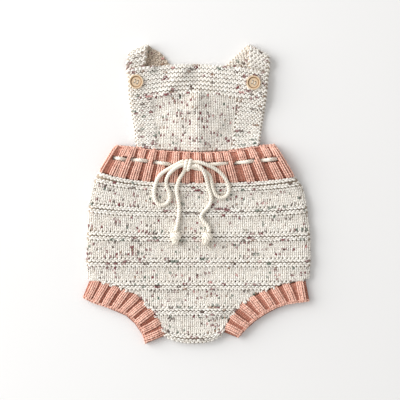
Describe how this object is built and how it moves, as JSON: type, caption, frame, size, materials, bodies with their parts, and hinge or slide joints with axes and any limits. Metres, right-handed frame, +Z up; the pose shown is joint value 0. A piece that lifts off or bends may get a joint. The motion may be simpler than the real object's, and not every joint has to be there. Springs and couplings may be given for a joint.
{
  "type": "baby romper, hand-knitted, laid flat",
  "caption": "Hand-knitted baby romper laid flat: tweed body with garter stripes, ribbed band and cuffs, buttoned bib straps and a tied drawstring.",
  "frame": {"origin": "under the middle of the garment, on the surface that it lies on", "axes": "+X to the viewer's right across the front, +Y towards the shoulder straps, +Z up out of the front"},
  "size_m": [0.2523, 0.3307, 0.0205],
  "materials": {
    "tweed_knit": "cream wool with burgundy, brown, green and pink flecks",
    "coral_knit": "coral wool, ribbed",
    "drawstring": "cream plied cord",
    "button_wood": "pale wood, smooth, unvarnished"
  },
  "bodies": {
    "root": {"back_panel": "tweed_knit", "front_panel": "tweed_knit", "bib": "tweed_knit", "strap_left": "tweed_knit", "strap_right": "tweed_knit", "waistband_back": "coral_knit", "waistband_front": "coral_knit", "cuff_back_left": "coral_knit", "cuff_front_left": "coral_knit", "cuff_back_right": "coral_knit", "cuff_front_right": "coral_knit", "button_left": "button_wood", "button_right": "button_wood", "drawstring_front_left": "drawstring", "drawstring_back": "drawstring", "drawstring_front_right": "drawstring", "bow_knot": "drawstring", "bow_loop_left": "drawstring", "bow_loop_right": "drawstring", "bow_tail_left": "drawstring", "bow_tail_right": "drawstring", "end_knot_left": "drawstring", "end_knot_right": "drawstring"}
  },
  "joints": []
}
